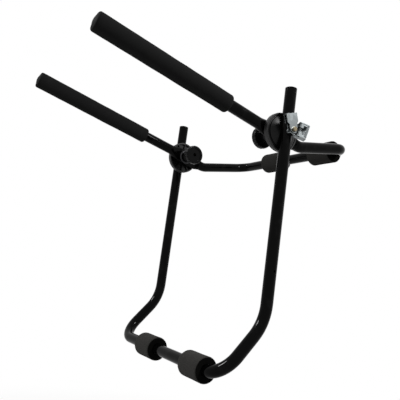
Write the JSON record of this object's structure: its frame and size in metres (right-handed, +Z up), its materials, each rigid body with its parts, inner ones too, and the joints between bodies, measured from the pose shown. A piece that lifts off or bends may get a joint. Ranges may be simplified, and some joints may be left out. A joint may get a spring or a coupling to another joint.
{
  "type": "trunk mounted bike rack",
  "caption": "Folding trunk mounted bike rack: bent tube frames, foam covered carrying arms, clamp knobs at two hubs and cam buckles for the straps",
  "frame": {"origin": "the middle of the lower bar's axis, where the rack stands on the car", "axes": "+X along the hub axis to the right side, +Y to the car, +Z up the uprights"},
  "size_m": [0.528, 0.6758, 0.6355],
  "materials": {
    "black_paint": "semi-gloss black paint on steel tube",
    "black_foam": "matt closed-cell foam",
    "black_plastic": "moulded black plastic, slight sheen",
    "zinc_steel": "bright zinc plate",
    "yellow_zinc": "yellow zinc plate"
  },
  "bodies": {
    "frame": {"lower_frame": "black_paint", "upright_plug_left": "black_plastic", "upright_plug_right": "black_plastic", "lower_roller_left": "black_foam", "lower_roller_right": "black_foam", "hub_dome_left": "black_plastic", "hub_dome_right": "black_plastic", "friction_ring_left": "black_plastic", "friction_ring_right": "black_plastic", "clamp_bolt_left": "yellow_zinc", "clamp_bolt_right": "yellow_zinc", "clamp_washer_left": "zinc_steel", "clamp_washer_right": "zinc_steel", "strap_loop_left": "zinc_steel", "strap_loop_right": "zinc_steel", "buckle_body_left": "zinc_steel", "buckle_body_right": "zinc_steel", "loop_spacer_left": "zinc_steel", "loop_spacer_right": "zinc_steel", "cam_pin_left": "zinc_steel", "cam_pin_right": "zinc_steel", "cam_spring_left": "zinc_steel", "cam_spring_right": "zinc_steel"},
    "upper": {"upper_frame": "black_paint", "upper_roller_left": "black_foam", "upper_roller_right": "black_foam"},
    "carry_left": {"arm_left": "black_paint", "grip_left": "black_foam", "arm_cap_left": "black_plastic"},
    "carry_right": {"arm_right": "black_paint", "grip_right": "black_foam", "arm_cap_right": "black_plastic"},
    "turn_left": {"knob_left": "black_plastic", "knob_nut_left": "zinc_steel"},
    "turn_right": {"knob_right": "black_plastic", "knob_nut_right": "zinc_steel"},
    "lever_left": {"cam_lever_left": "zinc_steel"},
    "lever_right": {"cam_lever_right": "zinc_steel"}
  },
  "joints": [
    {"name": "upper_frame_hinge", "type": "hinge", "parent": "frame", "child": "upper", "pos_m": [0, 0.09032, 0.503], "axis": [1, 0, 0], "range_deg": [-25, 75]},
    {"name": "arm_left_hinge", "type": "hinge", "parent": "frame", "child": "carry_left", "pos_m": [-0.1931, 0.09032, 0.503], "axis": [1, 0, 0], "range_deg": [-12, 100]},
    {"name": "arm_right_hinge", "type": "hinge", "parent": "frame", "child": "carry_right", "pos_m": [0.1931, 0.09032, 0.503], "axis": [1, 0, 0], "range_deg": [-12, 100]},
    {"name": "knob_left_turn", "type": "hinge", "parent": "frame", "child": "turn_left", "pos_m": [-0.165, 0.09032, 0.503], "axis": [1, 0, 0], "continuous": true},
    {"name": "knob_right_turn", "type": "hinge", "parent": "frame", "child": "turn_right", "pos_m": [0.165, 0.09032, 0.503], "axis": [1, 0, 0], "continuous": true},
    {"name": "cam_left_hinge", "type": "hinge", "parent": "frame", "child": "lever_left", "pos_m": [-0.25229, 0.10453, 0.50489], "axis": [0, 0.2588, 0.9659], "range_deg": [0, 60], "stiffness_Nm_per_rad": 0.02},
    {"name": "cam_right_hinge", "type": "hinge", "parent": "frame", "child": "lever_right", "pos_m": [0.25229, 0.10453, 0.50489], "axis": [0, -0.2588, -0.9659], "range_deg": [0, 60], "stiffness_Nm_per_rad": 0.02}
  ]
}
